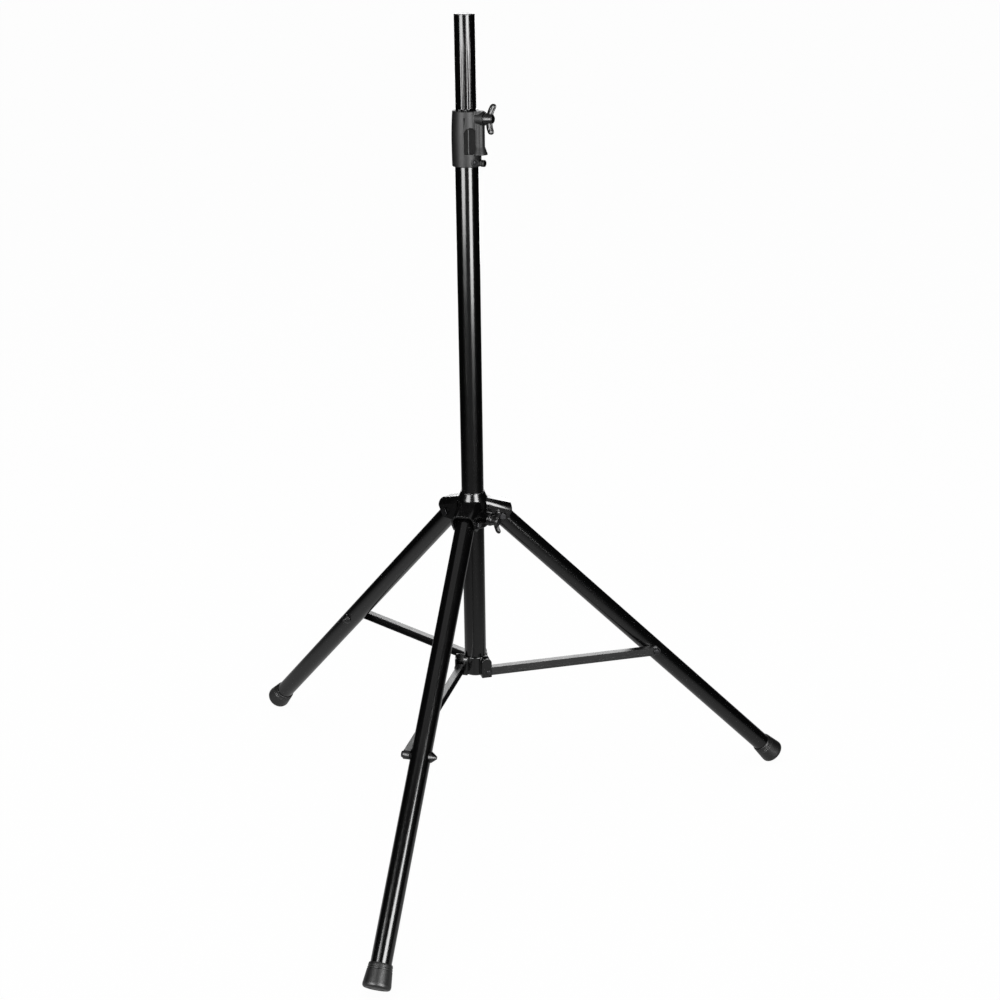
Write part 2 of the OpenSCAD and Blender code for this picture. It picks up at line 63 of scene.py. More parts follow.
def joint_axis(name):
    return Vector(JOINTS[name]["axis"]).normalized()


def joint_place(name):
    return Vector(JOINTS[name]["pos_m"])


def span(node, origin, direction):
    """Where a CAD node starts and ends along an axis, and its greatest distance from it."""
    along, away = [], []
    for v in frame["nodes"][node].data.vertices:
        p = v.co - origin
        s = p.dot(direction)
        along.append(s)
        away.append((p - direction * s).length)
    return min(along), max(along), max(away)


# --- Mesh building ---

def fillet(outline, steps=5):
    """Rounds the corners of an outline. A point is (r, s) or, with a corner radius, (r, s, radius)."""
    points = []
    count = len(outline)
    for i, corner in enumerate(outline):
        here = Vector(corner[:2])
        radius = corner[2] if len(corner) > 2 else 0
        if radius == 0:
            points.append(here)
            continue
        to_last = (Vector(outline[i - 1][:2]) - here).normalized()
        to_next = (Vector(outline[(i + 1) % count][:2]) - here).normalized()
        half = to_last.angle(to_next) / 2
        reach = radius / math.tan(half)
        centre = here + (to_last + to_next).normalized() * radius / math.sin(half)
        start, end = here + to_last * reach - centre, here + to_next * reach - centre
        turn = start.angle_signed(end)
        for k in range(steps + 1):
            points.append(centre + Matrix.Rotation(-turn * k / steps, 2) @ start)
    return points


def new_object(name, mesh_data, smooth_angle=40):
    mesh = bpy.data.meshes.new(name)
    mesh_data.normal_update()
    mesh_data.to_mesh(mesh)
    mesh_data.free()
    piece = bpy.data.objects.new(name, mesh)
    bpy.context.scene.collection.objects.link(piece)
    shade(piece, smooth_angle)
    return piece


def shade(piece, smooth_angle=40):
    piece.data.shade_smooth()
    piece.data.set_sharp_from_angle(angle=math.radians(smooth_angle))


def lathe_mesh(outline, origin, direction, steps=ROUND_STEPS, closed=False):
    """Turns an outline of (radius, distance) points about an axis. A closed outline makes a ring or tube."""
    turned = bmesh.new()
    frame_of_axis = direction.to_track_quat("Z", "X")
    rings = []
    for r, s in outline:
        centre = origin + direction * s
        if r < 1e-6:
            rings.append([turned.verts.new(centre)])
            continue
        rings.append([
            turned.verts.new(centre + frame_of_axis @ Vector((r * math.cos(a), r * math.sin(a), 0)))
            for a in (2 * math.pi * i / steps for i in range(steps))
        ])
    pairs = list(zip(rings, rings[1:]))
    if closed:
        pairs.append((rings[-1], rings[0]))
    for one, other in pairs:
        for i in range(steps):
            j = (i + 1) % steps
            if len(one) == 1 and len(other) == 1:
                continue
            if len(one) == 1:
                turned.faces.new((one[0], other[i], other[j]))
            elif len(other) == 1:
                turned.faces.new((one[i], other[0], one[j]))
            else:
                turned.faces.new((one[i], other[i], other[j], one[j]))
    bmesh.ops.recalc_face_normals(turned, faces=turned.faces)
    return turned


def lathe(name, outline, origin, direction, steps=ROUND_STEPS, closed=False):
    piece = new_object(name, lathe_mesh(outline, origin, direction, steps, closed))
    weighted = piece.modifiers.new("even_normals", "WEIGHTED_NORMAL")
    weighted.keep_sharp = True
    return piece


def pipe_outline(inner, outer, s0, s1, edge):
    """Outline of a tube with rounded end edges."""
    return fillet([
        (outer, s0, edge), (outer, s1, edge), (inner, s1, edge / 2), (inner, s0, edge / 2)
    ])


def apply_modifiers(piece):
    """Bakes a piece's modifiers into its mesh."""
    evaluated = piece.evaluated_get(bpy.context.evaluated_depsgraph_get())
    baked = bpy.data.meshes.new_from_object(evaluated)
    piece.modifiers.clear()
    piece.data = baked


def melt(piece, voxel):
    """Adds the modifier that joins overlapping solids into one skin of small, even faces."""
    remesh = piece.modifiers.new("melt", "REMESH")
    remesh.mode = "VOXEL"
    remesh.voxel_size = voxel


def moulded(piece, voxel, rounds):
    """Melts a solid into one cast or moulded skin with soft edges and filleted inside corners."""
    melt(piece, voxel)
    smooth = piece.modifiers.new("soften", "SMOOTH")
    smooth.factor = 0.5
    smooth.iterations = rounds
    apply_modifiers(piece)
    shade(piece, 60)
    return piece


def copy_of(node, name):
    piece = bpy.data.objects.new(name, frame["nodes"][node].data.copy())
    bpy.context.scene.collection.objects.link(piece)
    return piece


def stands_for(piece, body, *nodes):
    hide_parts(*nodes)
    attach(piece, body)


def soften_cad(node, edge):
    """Gives a CAD node's sharp edges a small bevel, by modifiers alone."""
    piece = frame["nodes"][node]
    weld = piece.modifiers.new("weld", "WELD")
    weld.merge_threshold = 0.01 * MM
    planar = piece.modifiers.new("planar", "DECIMATE")
    planar.decimate_type = "DISSOLVE"
    planar.angle_limit = math.radians(1)
    bevel = piece.modifiers.new("bevel", "BEVEL")
    bevel.width = edge
    bevel.segments = 3
    bevel.limit_method = "ANGLE"
    bevel.angle_limit = math.radians(35)
    bevel.harden_normals = True
    close = piece.modifiers.new("close", "WELD")
    close.merge_threshold = 0.001 * MM


# --- Materials ---

class Finish:
    """A node-based material, with short calls for the nodes that the finishes share."""

    def __init__(self, name, colour, roughness, metallic=0.0):
        self.material = bpy.data.materials.new(name)
        self.material.use_nodes = True
        self.tree = self.material.node_tree
        self.surface = self.tree.nodes["Principled BSDF"]
        self.place = self.add("ShaderNodeTexCoord").outputs["Object"]
        self.colour = self.value_colour(colour)
        self.roughness = None
        self.normal = None
        self.surface.inputs["Roughness"].default_value = roughness
        self.surface.inputs["Metallic"].default_value = metallic

    def add(self, kind):
        return self.tree.nodes.new(kind)

    def link(self, source, target):
        self.tree.links.new(source, target)

    def value_colour(self, colour):
        node = self.add("ShaderNodeRGB")
        node.outputs[0].default_value = (*colour, 1)
        return node.outputs[0]

    def aligned(self, direction, stretch):
        """Coordinates squeezed along a direction, so that a noise turns into lines that run that way."""
        ahead = direction.normalized()
        side = ahead.orthogonal().normalized()
        joined = self.add("ShaderNodeCombineXYZ")
        for i, (axis, factor) in enumerate(((ahead, stretch), (side, 1), (ahead.cross(side), 1))):
            dot = self.add("ShaderNodeVectorMath")
            dot.operation = "DOT_PRODUCT"
            dot.inputs[1].default_value = axis * factor
            self.link(self.place, dot.inputs[0])
            self.link(dot.outputs["Value"], joined.inputs[i])
        return joined.outputs[0]

    def noise(self, size, detail=2.0, place=None, roughness=0.5):
        """Noise whose blobs are about size metres across."""
        node = self.add("ShaderNodeTexNoise")
        node.inputs["Scale"].default_value = 1 / size
        node.inputs["Detail"].default_value = detail
        node.inputs["Roughness"].default_value = roughness
        self.link(place or self.place, node.inputs["Vector"])
        return node.outputs["Fac"]

    def ranged(self, value, low, high, to_low=0.0, to_high=1.0):
        node = self.add("ShaderNodeMapRange")
        node.inputs["From Min"].default_value = low
        node.inputs["From Max"].default_value = high
        node.inputs["To Min"].default_value = to_low
        node.inputs["To Max"].default_value = to_high
        self.link(value, node.inputs["Value"])
        return node.outputs["Result"]

    def times(self, a, b):
        node = self.add("ShaderNodeMath")
        node.operation = "MULTIPLY"
        self.link(a, node.inputs[0])
        self.link(b, node.inputs[1])
        return node.outputs[0]

    def tint(self, mask, colour):
        """Lays a colour over the surface where the mask is 1."""
        node = self.add("ShaderNodeMix")
        node.data_type = "RGBA"
        self.link(mask, node.inputs["Factor"])
        self.link(self.colour, node.inputs["A"])
        node.inputs["B"].default_value = (*colour, 1)
        self.colour = node.outputs["Result"]

    def rough_between(self, mask, low, high):
        self.roughness = self.ranged(mask, 0, 1, low, high)

    def rougher(self, mask, roughness):
        """Moves the roughness to a value where the mask is 1."""
        node = self.add("ShaderNodeMix")
        self.link(mask, node.inputs["Factor"])
        if self.roughness:
            self.link(self.roughness, node.inputs["A"])
        else:
            node.inputs["A"].default_value = self.surface.inputs["Roughness"].default_value
        node.inputs["B"].default_value = roughness
        self.roughness = node.outputs["Result"]

    def bump(self, height, depth, strength=1.0):
        """Raises the surface by up to depth metres."""
        node = self.add("ShaderNodeBump")
        node.inputs["Strength"].default_value = strength
        node.inputs["Distance"].default_value = depth
        self.link(height, node.inputs["Height"])
        if self.normal:
            self.link(self.normal, node.inputs["Normal"])
        self.normal = node.outputs["Normal"]

    def edges(self, radius, low, high):
        """Mask of the outer edges, broken up by a noise."""
        rounded = self.add("ShaderNodeBevel")
        rounded.samples = 4
        rounded.inputs["Radius"].default_value = radius
        flat = self.add("ShaderNodeNewGeometry")
        dot = self.add("ShaderNodeVectorMath")
        dot.operation = "DOT_PRODUCT"
        self.link(rounded.outputs["Normal"], dot.inputs[0])
        self.link(flat.outputs["Normal"], dot.inputs[1])
        edge = self.ranged(dot.outputs["Value"], low, high, 1, 0)
        return self.times(edge, self.ranged(self.noise(3 * MM, 4), 0.42, 0.62))

    def done(self):
        self.link(self.colour, self.surface.inputs["Base Color"])
        if self.roughness:
            self.link(self.roughness, self.surface.inputs["Roughness"])
        if self.normal:
            self.link(self.normal, self.surface.inputs["Normal"])
        return self.material


def gloss_coat():
    """Glossy black powder coat: orange peel, faint rub marks along the tube, a little dust."""
    f = Finish("gloss_coat", (0.004, 0.004, 0.0043), 0.16)
    rubs = f.ranged(f.noise(0.9 * MM, 3, f.aligned(UP, 0.012)), 0.6, 0.74)
    f.rough_between(f.noise(35 * MM, 3), 0.13, 0.2)
    f.rougher(rubs, 0.26)
    f.tint(f.times(rubs, f.ranged(f.noise(60 * MM), 0.45, 0.7)), (0.013, 0.013, 0.0135))
    f.bump(f.noise(2.6 * MM, 2), 0.012 * MM, 0.4)
    return f.done()


def satin_coat(name, direction):
    """Black powder coat on a drawn tube, with fine grain and faint lines along it."""
    f = Finish(name, (0.005, 0.005, 0.0054), 0.2)
    lines = f.noise(1.6 * MM, 3, f.aligned(direction, 0.01))
    f.tint(f.ranged(lines, 0.5, 0.72), (0.009, 0.009, 0.0095))
    f.rough_between(f.noise(30 * MM, 4), 0.13, 0.19)
    f.tint(f.ranged(f.noise(90 * MM, 5), 0.55, 0.8, 0, 0.35), (0.02, 0.0195, 0.019))
    f.bump(f.noise(0.55 * MM, 2), 0.008 * MM, 0.6)
    f.bump(lines, 0.012 * MM, 0.4)
    return f.done()


def strut_coat(name, direction):
    """Dark grey paint on pressed strip, with lengthwise rolling lines and scuffs."""
    f = Finish(name, (0.016, 0.016, 0.0172), 0.36)
    lines = f.noise(0.8 * MM, 3, f.aligned(direction, 0.012))
    f.tint(f.ranged(lines, 0.42, 0.7), (0.03, 0.03, 0.032))
    f.tint(f.edges(0.6 * MM, 0.9, 0.985), (0.07, 0.07, 0.073))
    f.rough_between(f.noise(18 * MM, 4), 0.3, 0.42)
    f.bump(lines, 0.03 * MM, 0.6)
    return f.done()


def cast_coat():
    """Semi-gloss black coat on castings and pressings, rubbed thin along the edges."""
    f = Finish("cast_coat", (0.005, 0.005, 0.0053), 0.2)
    f.rough_between(f.noise(9 * MM, 4), 0.16, 0.25)
    f.tint(f.edges(0.7 * MM, 0.86, 0.97), (0.03, 0.03, 0.031))
    f.bump(f.noise(1.5 * MM, 3), 0.03 * MM, 0.5)
    return f.done()


def grey_moulding():
    """Dark grey glass-filled plastic: fine spark texture, slight flow marks, paler edges."""
    f = Finish("grey_moulding", (0.026, 0.026, 0.0268), 0.5)
    f.tint(f.ranged(f.noise(14 * MM, 3), 0.4, 0.7, 0, 0.5), (0.038, 0.038, 0.039))
    f.tint(f.edges(0.8 * MM, 0.88, 0.98), (0.08, 0.08, 0.082))
    f.rough_between(f.noise(6 * MM, 3), 0.46, 0.54)
    f.surface.inputs["Specular IOR Level"].default_value = 0.3
    f.bump(f.noise(0.5 * MM, 4, roughness=0.7), 0.03 * MM, 0.8)
    return f.done()


def pocket_painted_shade():
    """Painted shade for the floor of the collar's recess: a dark, coarse, unpolished finish that stands in for
    the shade falling there.
    """
    # the dark base colour is painted shade, not the plastic's own colour; the lighter patches vary it at random
    f = Finish("pocket_painted_shade", (0.009, 0.009, 0.0093), 0.7)
    f.rough_between(f.noise(4 * MM, 3), 0.62, 0.78)
    f.tint(f.ranged(f.noise(6 * MM, 3), 0.45, 0.75, 0, 0.6), (0.014, 0.014, 0.0145))
    f.bump(f.noise(0.7 * MM, 4, roughness=0.7), 0.05 * MM, 0.9)
    f.surface.inputs["Specular IOR Level"].default_value = 0.1
    return f.done()


def black_moulding():
    """Black moulded plastic with a fine grain, polished by hands on its edges."""
    f = Finish("black_moulding", (0.007, 0.007, 0.0073), 0.3)
    f.rough_between(f.noise(7 * MM, 3), 0.24, 0.36)
    f.tint(f.edges(0.8 * MM, 0.88, 0.98), (0.026, 0.026, 0.027))
    f.bump(f.noise(0.45 * MM, 3), 0.02 * MM, 0.7)
    return f.done()


def nylon():
    """Natural nylon, a little translucent, with turning marks."""
    f = Finish("nylon", (0.6, 0.59, 0.54), 0.45)
    f.tint(f.ranged(f.noise(5 * MM, 3), 0.45, 0.75, 0, 0.5), (0.5, 0.48, 0.42))
    f.bump(f.noise(0.8 * MM, 2, f.aligned(UP, 6)), 0.02 * MM, 0.5)
    f.surface.inputs["Subsurface Weight"].default_value = 0.1
    f.surface.inputs["Subsurface Scale"].default_value = 1 * MM
    return f.done()


def plated_steel():
    """Black-plated steel with fine turning lines and duller patches."""
    f = Finish("plated_steel", (0.045, 0.045, 0.047), 0.26, 1.0)
    f.tint(f.ranged(f.noise(3 * MM, 4), 0.45, 0.7, 0, 0.7), (0.03, 0.03, 0.031))
    f.rough_between(f.noise(1.2 * MM, 3), 0.22, 0.42)
    f.bump(f.noise(0.3 * MM, 2, f.aligned(Vector((1, 1, 1)), 5)), 0.01 * MM, 0.5)
    return f.done()


def turned_brass():
    f = Finish("turned_brass", (0.55, 0.38, 0.15), 0.3, 1.0)
    f.tint(f.ranged(f.noise(2 * MM, 4), 0.45, 0.7, 0, 0.6), (0.36, 0.24, 0.1))
    f.rough_between(f.noise(1 * MM, 3), 0.2, 0.4)
    f.bump(f.noise(0.3 * MM, 2), 0.01 * MM, 0.5)
    return f.done()


def rubber():
    """Moulded black rubber, dusty and scuffed near the floor."""
    f = Finish("rubber", (0.009, 0.009, 0.009), 0.4)
    height = f.add("ShaderNodeSeparateXYZ")
    f.link(f.place, height.inputs[0])
    low = f.ranged(height.outputs["Z"], 0, 16 * MM, 1, 0)
    dust = f.times(low, f.ranged(f.noise(4 * MM, 5), 0.4, 0.7))
    f.rough_between(f.noise(8 * MM, 4), 0.36, 0.48)
    f.tint(f.ranged(f.noise(10 * MM, 4), 0.5, 0.8, 0, 0.5), (0.016, 0.016, 0.016))
    f.tint(f.times(dust, f.ranged(dust, 0, 1, 0.5, 0.5)), (0.045, 0.0435, 0.042))
    f.bump(f.noise(0.4 * MM, 3), 0.03 * MM, 0.7)
    return f.done()


def paint(piece, material):
    piece.data.materials.clear()
    piece.data.materials.append(material)
    for face in piece.data.polygons:
        face.material_index = 0


def paint_cad(material, *nodes):
    for node in nodes:
        for slot in frame["nodes"][node].material_slots:
            slot.material = material


# --- Column and pole ---

ORIGIN = Vector((0, 0, 0))
TUBE_EDGE = 0.5 * MM
POLE_WALL = 1.6 * MM
MAIN_WALL = 1.7 * MM
LEG_WALL = 1.8 * MM
HOLE_STEP = 50 * MM
HOLE_COUNT = 14
HOLE_R = 3.3 * MM
GROOVE_ABOVE_COLLAR = 2.75 * MM
GROOVE_DEPTH = 0.3 * MM
CAP_LIP = 2.5 * MM
CAP_DISH = 0.5 * MM


def cut_away(piece, cutter):
    """Subtracts one closed mesh from another and bakes the result."""
    boolean = piece.modifiers.new("cut", "BOOLEAN")
    boolean.operation = "DIFFERENCE"
    boolean.solver = "EXACT"
    boolean.object = cutter
    apply_modifiers(piece)
    bpy.data.objects.remove(cutter)


def clear_slivers(piece):
    """Turns a mesh into triangles and removes the ones without area."""
    mesh = bmesh.new()
    mesh.from_mesh(piece.data)
    for _ in range(2):
        bmesh.ops.triangulate(mesh, faces=mesh.faces[:])
        bmesh.ops.dissolve_degenerate(mesh, edges=mesh.edges[:], dist=0.001 * MM)
    bmesh.ops.triangulate(mesh, faces=mesh.faces[:])
    mesh.to_mesh(piece.data)
    mesh.free()


def build_main_tube(material):
    s0, s1, radius = span("main_tube", ORIGIN, UP)
    outline = pipe_outline(radius - MAIN_WALL, radius, s0, s1, TUBE_EDGE)
    tube = lathe("main_tube_skin", outline, ORIGIN, UP, closed=True)
    paint(tube, material)
    stands_for(tube, "column", "main_tube")


def build_pole(material):
    """The pole keeps its insertion groove and its row of holes for the lock pin."""
    s0, s1, radius = span("sliding_pole", ORIGIN, UP)
    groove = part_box("height_collar")[1].z + GROOVE_ABOVE_COLLAR
    inner = radius - POLE_WALL
    outline = fillet([
        (radius, s0, TUBE_EDGE), (radius, groove - 0.75 * MM),
        (radius - GROOVE_DEPTH, groove - 0.35 * MM), (radius - GROOVE_DEPTH, groove + 0.35 * MM),
        (radius, groove + 0.75 * MM), (radius, s1), (inner, s1), (inner, s0)
    ])
    pole = lathe("sliding_pole_skin", outline, ORIGIN, UP, closed=True)
    across = -joint_axis("lock_pin_push")
    hole_z = mid("lock_pin").z
    drill = [(0, 0), (HOLE_R, 0), (HOLE_R, 2 * radius), (0, 2 * radius)]
    holes = [
        lathe_mesh(drill, Vector((0, 0, hole_z - i * HOLE_STEP)), across, 32) for i in range(HOLE_COUNT)
    ]
    cut_away(pole, joined("holes", holes))
    clear_slivers(pole)
    shade(pole)
    paint(pole, material)
    stands_for(pole, "pole", "sliding_pole")


def build_pole_cap(material):
    """Flat plug that closes the pole, with a rounded lip and a shallow dish in its top."""
    low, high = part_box("pole_cap")
    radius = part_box("sliding_pole")[1].x
    top = high.z
    outline = fillet([
        (0, top - CAP_DISH), (radius - 5 * MM, top - CAP_DISH, 1.5 * MM),
        (radius - 3.6 * MM, top, 0.8 * MM), (radius, top, 1 * MM), (radius, top - CAP_LIP),
        (radius - POLE_WALL, top - CAP_LIP), (radius - POLE_WALL, low.z, 1 * MM), (0, low.z)
    ])
    cap = lathe("pole_cap_skin", outline, ORIGIN, UP)
    paint(cap, material)
    stands_for(cap, "pole", "pole_cap")


def build_casting(node, body, material, voxel, rounds):
    """A cast or moulded CAD shape, melted so that its edges and inside corners are soft."""
    piece = moulded(copy_of(node, node + "_skin"), voxel, rounds)
    paint(piece, material)
    stands_for(piece, body, node)
    return piece


# --- Collar, wing knobs and lock pin ---

# Arched pocket in the collar, whose floor gets painted shade: its direction, half width, depths from the
# column's axis, and the rib in it
POCKET_AZ = -59
POCKET_HALF = 10.7 * MM
POCKET_DEPTHS = (19 * MM, 22.6 * MM)
POCKET_RIB = (-4.3 * MM, -1.5 * MM)
POCKET_ABOVE_FOOT = 20 * MM
POCKET_BELOW_TOP = 10 * MM

# Stem on the collar that the lock pin's cup slides over
STEM_R = 4.95 * MM
STEM_REACH = 6.8 * MM
STEM_FOOT = 25 * MM
STEM_START = 26 * MM
CUP_BORE_R = 5.16 * MM
CUP_DEPTH = 3.2 * MM
GRIP_RIBS = 20
GRIP_HEIGHT = 0.18 * MM

COLLAR_KNOB_TURN = -12
KNOB_SEAT_R = 10 * MM
WING_STEPS = 7
WING_START = 4.5 * MM
WING_TIP = 5.2 * MM
WING_LEAN = 22
KNOB_VOXEL = 0.45 * MM


def ball(centre, radii, axes):
    """Ellipsoid with its radii along three axes."""
    shape = bmesh.new()
    bmesh.ops.create_icosphere(shape, subdivisions=3, radius=1)
    turn = Matrix([list(a) for a in axes]).transposed()
    for v in shape.verts:
        v.co = centre + turn @ Vector([c * r for c, r in zip(v.co, radii)])
    return shape


def joined(name, shapes):
    """One object out of several separate meshes."""
    whole = bmesh.new()
    for shape in shapes:
        part = bpy.data.meshes.new("part")
        shape.to_mesh(part)
        shape.free()
        whole.from_mesh(part)
        bpy.data.meshes.remove(part)
    return new_object(name, whole)


def build_wing_knob(node, body, joint, material, turn=0):
    """Two dished wings on a tapered hub, melted into one moulding, turned about the knob's axis."""
    out = joint_axis(joint)
    origin = joint_place(joint)
    s0, s1, reach = span(node, origin, out)
    wing = Quaternion(out, math.radians(turn)) @ UP
    side = wing.cross(out)
    base = origin + out * s0
    height = s1 - s0
    hub_top = height * 0.8
    shapes = [lathe_mesh(fillet([
        (0, 0), (KNOB_SEAT_R, 0, 0.6 * MM), (8.6 * MM, 4 * MM, 1 * MM),
        (7.2 * MM, hub_top, 2.5 * MM), (0, hub_top)
    ]), base, out, 64)]
    for sign in (1, -1):
        for i in range(WING_STEPS):
            t = i / (WING_STEPS - 1)
            across = WING_START + t * (reach - WING_START - WING_TIP)
            along = (8.6 + 4.2 * t * t) * MM
            lean = Quaternion(side, -sign * math.radians(WING_LEAN) * t)
            shapes.append(ball(
                base + wing * sign * across + out * along,
                ((6.0 + 0.4 * t) * MM, (3.4 - 0.5 * t + 0.25 * t * t) * MM, 5.4 * MM),
                (lean @ out, side, lean @ wing)
            ))
    knob = joined(node + "_skin", shapes)
    dishes = []
    for sign in (1, -1):
        for face in (1, -1):
            dishes.append(ball(
                base + wing * sign * (reach * 0.66) + out * 11.5 * MM + side * face * 5.9 * MM,
                (4.2 * MM, 3.2 * MM, 5.6 * MM), (out, side, wing)
            ))
    melt(knob, KNOB_VOXEL)
    apply_modifiers(knob)
    cut_away(knob, joined("dishes", dishes))
    moulded(knob, KNOB_VOXEL, 6)
    keep_inside(knob, origin, out, s0, s1, reach)
    paint(knob, material)
    stands_for(knob, body, node)


def keep_inside(piece, origin, direction, s0, s1, reach):
    """Holds a piece's points between two planes and within a radius of an axis."""
    for v in piece.data.vertices:
        p = v.co - origin
        s = p.dot(direction)
        off = p - direction * s
        if off.length > reach:
            off *= reach / off.length
        v.co = origin + direction * min(max(s, s0), s1) + off


def clear_stem(collar):
    """Keeps the collar's skin clear of the cup that slides over its stem."""
    out = -joint_axis("lock_pin_push")
    origin = Vector((0, 0, mid("lock_pin").z))
    for v in collar.data.vertices:
        p = v.co - origin
        s = p.dot(out)
        off = p - out * s
        if STEM_R < off.length < STEM_REACH:
            if s > STEM_START:
                v.co = origin + out * s + off.normalized() * STEM_R
            elif s > STEM_FOOT:
                v.co -= out * (s - STEM_FOOT)


def paint_pocket_shade(collar, material):
    """Paints shade on the floor of the collar's arched pocket with a second, dark material, but not on the rib
    in it.
    """
    collar.data.materials.append(material)
    angle = math.radians(POCKET_AZ)
    out = Vector((math.cos(angle), math.sin(angle), 0))
    side = UP.cross(out)
    low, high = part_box("height_collar")
    for face in collar.data.polygons:
        depth = face.center.dot(out)
        across = face.center.dot(side)
        in_width = abs(across) < POCKET_HALF and not POCKET_RIB[0] < across < POCKET_RIB[1]
        in_height = low.z + POCKET_ABOVE_FOOT < face.center.z < high.z - POCKET_BELOW_TOP
        if in_width and in_height and POCKET_DEPTHS[0] < depth < POCKET_DEPTHS[1]:
            # faces on the pocket's floor get the painted shade
            face.material_index = 1


def build_lock_pin_head(material):
    """Small cup-shaped pull head with grip ribs round it."""
    out = -joint_axis("lock_pin_push")
    origin = Vector((0, 0, mid("lock_pin").z))
    s0, s1, radius = span("lock_pin_head", origin, out)
    head = lathe("lock_pin_head_skin", fillet([
        (0, s0 + CUP_DEPTH), (CUP_BORE_R, s0 + CUP_DEPTH), (CUP_BORE_R, s0),
        (radius - 0.2 * MM, s0, 0.2 * MM), (radius - 0.2 * MM, s1, 0.8 * MM), (0, s1)
    ]), origin, out, 120)
    for v in head.data.vertices:
        p = v.co - origin
        s = p.dot(out)
        off = p - out * s
        if off.length > radius - 0.3 * MM:
            angle = math.atan2(off.dot(UP), off.dot(UP.cross(out)))
            v.co += off.normalized() * GRIP_HEIGHT * math.cos(GRIP_RIBS * angle)
    paint(head, material)
    stands_for(head, "lock_pin", "lock_pin_head")


# --- Legs and braces ---

PLUG_HEAD = 3.5 * MM


def leg_line(side):
    """The pivot of a leg and the direction of its tube, down and outwards."""
    pivot = joint_place("leg_fold_" + side)
    return pivot, (mid("leg_tube_" + side) - pivot).normalized()


def build_leg(side, tube_material, foot_material, plug_material):
    body = "leg_" + side
    pivot, down = leg_line(side)
    s0, s1, radius = span("leg_tube_" + side, pivot, down)
    outline = pipe_outline(radius - LEG_WALL, radius, s0, s1, TUBE_EDGE)
    tube = lathe(f"leg_tube_{side}_skin", outline, pivot, down, closed=True)
    paint(tube, tube_material)
    stands_for(tube, body, "leg_tube_" + side)
    build_foot(side, pivot, down, radius, foot_material)
    build_plug(side, pivot, down, plug_material)


def build_foot(side, pivot, down, leg_radius, material):
    """Rubber cap: a lip, two grooves, a flared skirt and a rim with a tread ring, cut flat at the floor."""
    s0, s1, radius = span("foot_" + side, pivot, down)
    neck = leg_radius + 2.2 * MM
    groove = 0.45 * MM
    flare = (radius - neck) / (s1 - s0 - 8 * MM)

    def skirt(s):
        return neck + flare * (s - s0) * 0.96

    outline = [
        (leg_radius, s0), (neck - 0.4 * MM, s0, 0.8 * MM),
        (skirt(s0 + 3 * MM), s0 + 3 * MM, 0.5 * MM)
    ]
    for place in (5 * MM, 8.5 * MM):
        outline += [
            (skirt(s0 + place), s0 + place, 0.3 * MM),
            (skirt(s0 + place) - groove, s0 + place + 0.7 * MM, 0.3 * MM),
            (skirt(s0 + place) - groove, s0 + place + 1.5 * MM, 0.3 * MM),
            (skirt(s0 + place + 2.2 * MM), s0 + place + 2.2 * MM, 0.3 * MM)
        ]
    outline += [
        (radius, s1 - 7 * MM, 6 * MM), (radius, s1, 5 * MM), (radius - 9 * MM, s1, 0.6 * MM),
        (radius - 10 * MM, s1 - 1.2 * MM, 0.6 * MM), (radius - 13 * MM, s1 - 1.2 * MM, 0.6 * MM),
        (radius - 14 * MM, s1, 0.6 * MM), (0, s1)
    ]
    bottom = s1 - 6 * MM
    inside = [(0, bottom), (leg_radius, bottom)]
    foot = lathe(f"foot_{side}_skin", inside + fillet(outline), pivot, down, 128)
    flat = bmesh.new()
    flat.from_mesh(foot.data)
    cut = bmesh.ops.bisect_plane(
        flat, geom=flat.verts[:] + flat.edges[:] + flat.faces[:],
        plane_co=ORIGIN, plane_no=-UP, clear_outer=True
    )
    bmesh.ops.holes_fill(flat, edges=[e for e in cut["geom_cut"] if isinstance(e, bmesh.types.BMEdge)])
    flat.to_mesh(foot.data)
    flat.free()
    shade(foot)
    paint(foot, material)
    stands_for(foot, "leg_" + side, "foot_" + side)


def build_plug(side, pivot, down, material):
    """Visible head of the plug in a leg's upper end, with its spigot inside the tube."""
    s0, s1, radius = span("leg_plug_" + side, pivot, down)
    spigot = radius - LEG_WALL
    plug = lathe(f"leg_plug_{side}_skin", fillet([
        (0, s0 + 0.6 * MM), (radius - 7 * MM, s0 + 0.6 * MM, 1 * MM),
        (radius - 6 * MM, s0, 0.5 * MM), (radius, s0, 1.5 * MM), (radius, s0 + PLUG_HEAD),
        (spigot, s0 + PLUG_HEAD), (spigot, s1, 1 * MM), (0, s1)
    ]), pivot, down)
    paint(plug, material)
    stands_for(plug, "leg_" + side, "leg_plug_" + side)


# --- Stage, lights and camera ---

ACROSS_VIEW = (0.985, 0.174, 0)
FLOOR_GLOW = 0.97


def area_light(name, place, target, width, height, power):
    data = bpy.data.lights.new(name, "AREA")
    data.shape = "RECTANGLE"
    data.size = width
    data.size_y = height
    data.energy = power
    lamp = bpy.data.objects.new(name, data)
    bpy.context.scene.collection.objects.link(lamp)
    lamp.location = place
    lamp.rotation_mode = "QUATERNION"
    lamp.rotation_quaternion = (Vector(place) - Vector(target)).to_track_quat("Z", "Y")
    return lamp


def softbox(name, azimuth, distance, width, low, high, power):
    """Upright light that faces the column and shows only in reflections. It stands between two heights."""
    angle = math.radians(azimuth)
    middle = (low + high) / 2
    place = (distance * math.cos(angle), distance * math.sin(angle), middle)
    lamp = area_light(name, place, (0, 0, middle), width, high - low, power)
    lamp.visible_diffuse = False


